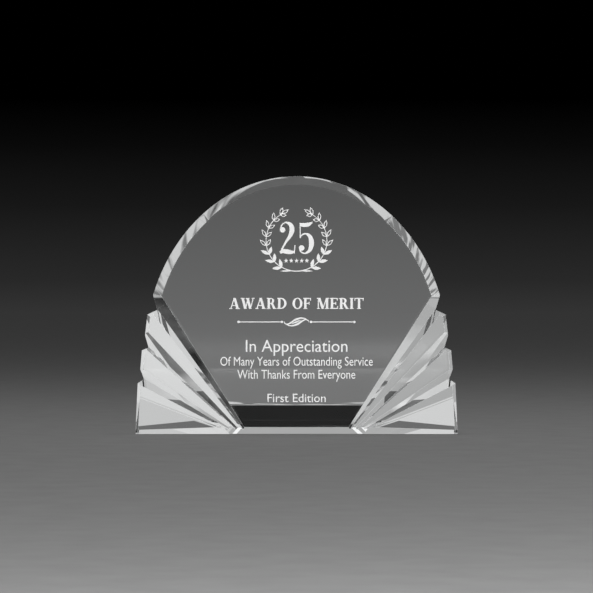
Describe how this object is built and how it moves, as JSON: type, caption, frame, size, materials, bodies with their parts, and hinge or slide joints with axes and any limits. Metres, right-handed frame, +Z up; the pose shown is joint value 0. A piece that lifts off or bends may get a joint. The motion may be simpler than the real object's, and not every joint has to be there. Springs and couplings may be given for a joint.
{
  "type": "crystal award",
  "caption": "Free-standing arched plaque of clear optical crystal with cut fan blades at its lower sides and etched, white-filled laurel, numeral, title and divider.",
  "frame": {"origin": "centre of the bounding box, on the plane of the resting face", "axes": "+X across the width to the viewer's right, +Y from the etched front face towards the back, +Z up from the resting face to the top of the arch"},
  "size_m": [0.1588, 0.019, 0.127],
  "materials": {
    "optical_crystal": "clear lead-free optical crystal, cut and polished on every face",
    "white_enamel": "white enamel colour fill with a fine satin grain, level with the etched face"
  },
  "bodies": {
    "root": {"crystal_block": "optical_crystal", "divider_rule_left": "white_enamel", "divider_rule_right": "white_enamel", "divider_scroll": "white_enamel", "divider_scroll_core": "white_enamel", "laurel_wreath": "white_enamel", "numeral_five": "white_enamel", "numeral_two": "white_enamel", "star_1": "white_enamel", "star_2": "white_enamel", "star_3": "white_enamel", "star_4": "white_enamel", "star_5": "white_enamel", "title_letter_01_a": "white_enamel", "title_letter_02_w": "white_enamel", "title_letter_03_a": "white_enamel", "title_letter_04_r": "white_enamel", "title_letter_05_d": "white_enamel", "title_letter_06_o": "white_enamel", "title_letter_07_f": "white_enamel", "title_letter_08_m": "white_enamel", "title_letter_09_e": "white_enamel", "title_letter_10_r": "white_enamel", "title_letter_11_i": "white_enamel", "title_letter_12_t": "white_enamel"}
  },
  "joints": []
}
